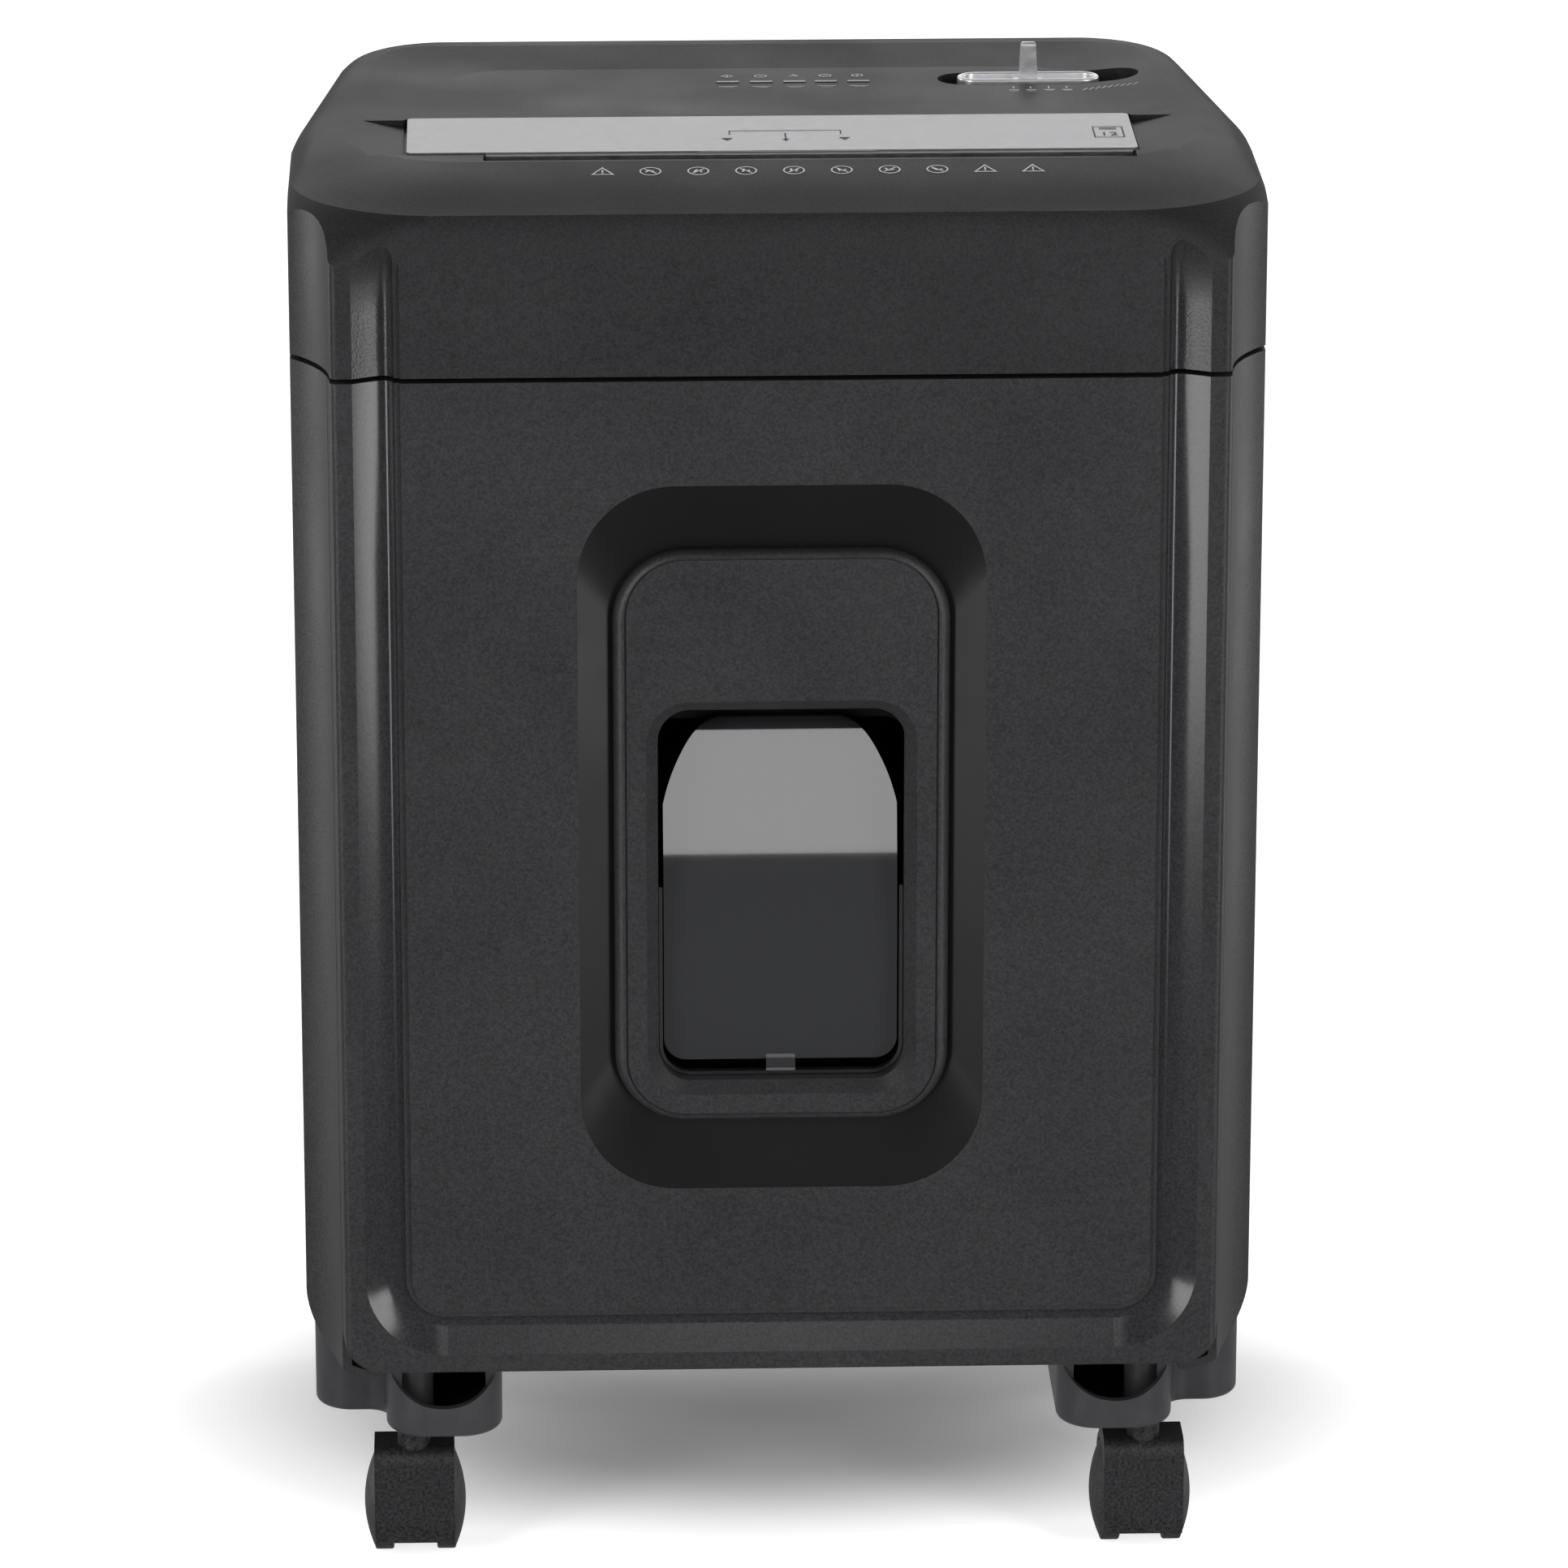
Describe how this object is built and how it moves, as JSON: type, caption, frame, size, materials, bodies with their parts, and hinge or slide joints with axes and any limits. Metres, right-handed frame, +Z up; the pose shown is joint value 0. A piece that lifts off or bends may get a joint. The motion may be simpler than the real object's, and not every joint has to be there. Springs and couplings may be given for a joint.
{
  "type": "paper shredder",
  "caption": "Floor-standing paper shredder on casters, with a top feed throat, a geared cutter pair in the head, and a pull-out bin with a smoked window.",
  "frame": {"origin": "on the floor, under the middle of the body", "axes": "+Z up, +Y to the back; the bin window faces -Y and the mode switch is on the +X side"},
  "size_m": [0.33, 0.244, 0.5085],
  "materials": {
    "moulded_abs_head": "fine moulded grain",
    "moulded_abs_body": "fine moulded grain, with polished flutes",
    "gloss_abs": "polished",
    "grey_polypropylene": "plain moulded",
    "smoked_clear_plastic": "smoked and polished",
    "satin_metal": "satin",
    "zinc_plated_steel": "zinc plated",
    "hardened_steel": "ground and oiled",
    "acetal_gear": "moulded",
    "motor_steel": "plated",
    "sintered_bronze": "sintered",
    "black_nylon": "moulded",
    "red_nylon": "moulded",
    "circuit_board": "solder mask",
    "lamp_lens": "smoked lens",
    "foot_abs": "semi-gloss",
    "caster_nylon": "coarse moulded grain"
  },
  "bodies": {
    "cabinet": {"bin_rail_left": "grey_polypropylene", "bin_rail_right": "grey_polypropylene", "cabinet_shell": "moulded_abs_body", "caster_foot_front_left": "foot_abs", "caster_foot_front_right": "foot_abs", "caster_foot_rear_left": "foot_abs", "caster_foot_rear_right": "foot_abs", "control_board": "circuit_board", "cord_gland": "black_nylon", "cutter_plate_left": "zinc_plated_steel", "cutter_plate_right": "zinc_plated_steel", "feed_plate": "satin_metal", "gear_cover": "grey_polypropylene", "gear_pins": "zinc_plated_steel", "head_base": "grey_polypropylene", "head_cover": "moulded_abs_head", "head_screws": "zinc_plated_steel", "indicator_board": "circuit_board", "indicator_lenses": "lamp_lens", "interlock_switch": "black_nylon", "motor_field": "motor_steel", "motor_housing": "motor_steel", "paper_chute": "grey_polypropylene", "shaft_bushes": "sintered_bronze", "slide_switch": "black_nylon", "stripper_comb_front": "grey_polypropylene", "stripper_comb_rear": "grey_polypropylene", "switch_tray": "grey_polypropylene", "thermal_cutout": "black_nylon", "tie_rods": "zinc_plated_steel"},
    "bin": {"bin_tub": "grey_polypropylene", "bin_front_panel": "moulded_abs_body", "window_surround": "gloss_abs", "window_plate": "moulded_abs_body", "window_frame": "gloss_abs", "window_pane": "smoked_clear_plastic", "bin_screws": "zinc_plated_steel"},
    "slider": {"switch_slider": "satin_metal"},
    "rear_cutter": {"cutter_b": "hardened_steel", "sync_gear_b": "hardened_steel", "drive_gear": "acetal_gear"},
    "front_cutter": {"cutter_a": "hardened_steel", "sync_gear_a": "hardened_steel"},
    "second_gear": {"second_gear": "acetal_gear"},
    "first_gear": {"first_gear": "acetal_gear"},
    "motor_rotor": {"motor_rotor": "motor_steel", "cooling_fan": "black_nylon"},
    "paper_lever": {"paper_lever": "black_nylon"},
    "interlock_plunger": {"interlock_plunger": "red_nylon"},
    "caster_front_right": {"caster_hood_front_right": "caster_nylon"},
    "wheels_front_right": {"caster_wheels_front_right": "caster_nylon"},
    "caster_front_left": {"caster_hood_front_left": "caster_nylon"},
    "wheels_front_left": {"caster_wheels_front_left": "caster_nylon"},
    "caster_rear_right": {"caster_hood_rear_right": "caster_nylon"},
    "wheels_rear_right": {"caster_wheels_rear_right": "caster_nylon"},
    "caster_rear_left": {"caster_hood_rear_left": "caster_nylon"},
    "wheels_rear_left": {"caster_wheels_rear_left": "caster_nylon"}
  },
  "joints": [
    {"name": "bin_slide", "type": "slide", "parent": "cabinet", "child": "bin", "axis": [0, -1, 0], "range_m": [0, 0.24]},
    {"name": "mode_slide", "type": "slide", "parent": "cabinet", "child": "slider", "axis": [1, 0, 0], "range_m": [-0.0062, 0.0124]},
    {"name": "rear_cutter_spin", "type": "hinge", "parent": "cabinet", "child": "rear_cutter", "pos_m": [0, -0.0467, 0.425], "axis": [1, 0, 0], "continuous": true},
    {"name": "front_cutter_spin", "type": "hinge", "parent": "cabinet", "child": "front_cutter", "pos_m": [0, -0.0837, 0.425], "axis": [1, 0, 0], "continuous": true},
    {"name": "second_gear_spin", "type": "hinge", "parent": "cabinet", "child": "second_gear", "pos_m": [0, -0.00214, 0.43126], "axis": [1, 0, 0], "continuous": true},
    {"name": "first_gear_spin", "type": "hinge", "parent": "cabinet", "child": "first_gear", "pos_m": [0, 0.02843, 0.43776], "axis": [1, 0, 0], "continuous": true},
    {"name": "motor_spin", "type": "hinge", "parent": "cabinet", "child": "motor_rotor", "pos_m": [0, 0.05517, 0.434], "axis": [1, 0, 0], "continuous": true},
    {"name": "paper_lever_swing", "type": "hinge", "parent": "cabinet", "child": "paper_lever", "pos_m": [0.118, -0.05, 0.47], "axis": [1, 0, 0], "range_deg": [0, 25], "stiffness_Nm_per_rad": 0.002, "springref_deg": -20.05},
    {"name": "interlock_push", "type": "slide", "parent": "cabinet", "child": "interlock_plunger", "axis": [0, 1, 0], "range_m": [0, 0.002], "stiffness_N_per_m": 150, "springref_m": -0.002},
    {"name": "swivel_front_right", "type": "hinge", "parent": "cabinet", "child": "caster_front_right", "pos_m": [0.128, -0.096, 0.05], "axis": [0, 0, 1], "continuous": true},
    {"name": "roll_front_right", "type": "hinge", "parent": "caster_front_right", "child": "wheels_front_right", "pos_m": [0.128, -0.084, 0.0178], "axis": [1, 0, 0], "continuous": true},
    {"name": "swivel_front_left", "type": "hinge", "parent": "cabinet", "child": "caster_front_left", "pos_m": [-0.128, -0.096, 0.05], "axis": [0, 0, 1], "continuous": true},
    {"name": "roll_front_left", "type": "hinge", "parent": "caster_front_left", "child": "wheels_front_left", "pos_m": [-0.128, -0.084, 0.0178], "axis": [1, 0, 0], "continuous": true},
    {"name": "swivel_rear_right", "type": "hinge", "parent": "cabinet", "child": "caster_rear_right", "pos_m": [0.128, 0.096, 0.05], "axis": [0, 0, 1], "continuous": true},
    {"name": "roll_rear_right", "type": "hinge", "parent": "caster_rear_right", "child": "wheels_rear_right", "pos_m": [0.128, 0.084, 0.0178], "axis": [1, 0, 0], "continuous": true},
    {"name": "swivel_rear_left", "type": "hinge", "parent": "cabinet", "child": "caster_rear_left", "pos_m": [-0.128, 0.096, 0.05], "axis": [0, 0, 1], "continuous": true},
    {"name": "roll_rear_left", "type": "hinge", "parent": "caster_rear_left", "child": "wheels_rear_left", "pos_m": [-0.128, 0.084, 0.0178], "axis": [1, 0, 0], "continuous": true}
  ],
  "couplings": [
    {"joint": "front_cutter_spin", "follows": "rear_cutter_spin", "ratio": -1},
    {"joint": "second_gear_spin", "follows": "rear_cutter_spin", "ratio": -2.75},
    {"joint": "first_gear_spin", "follows": "rear_cutter_spin", "ratio": 7.0714},
    {"joint": "motor_spin", "follows": "rear_cutter_spin", "ratio": -24.75}
  ]
}
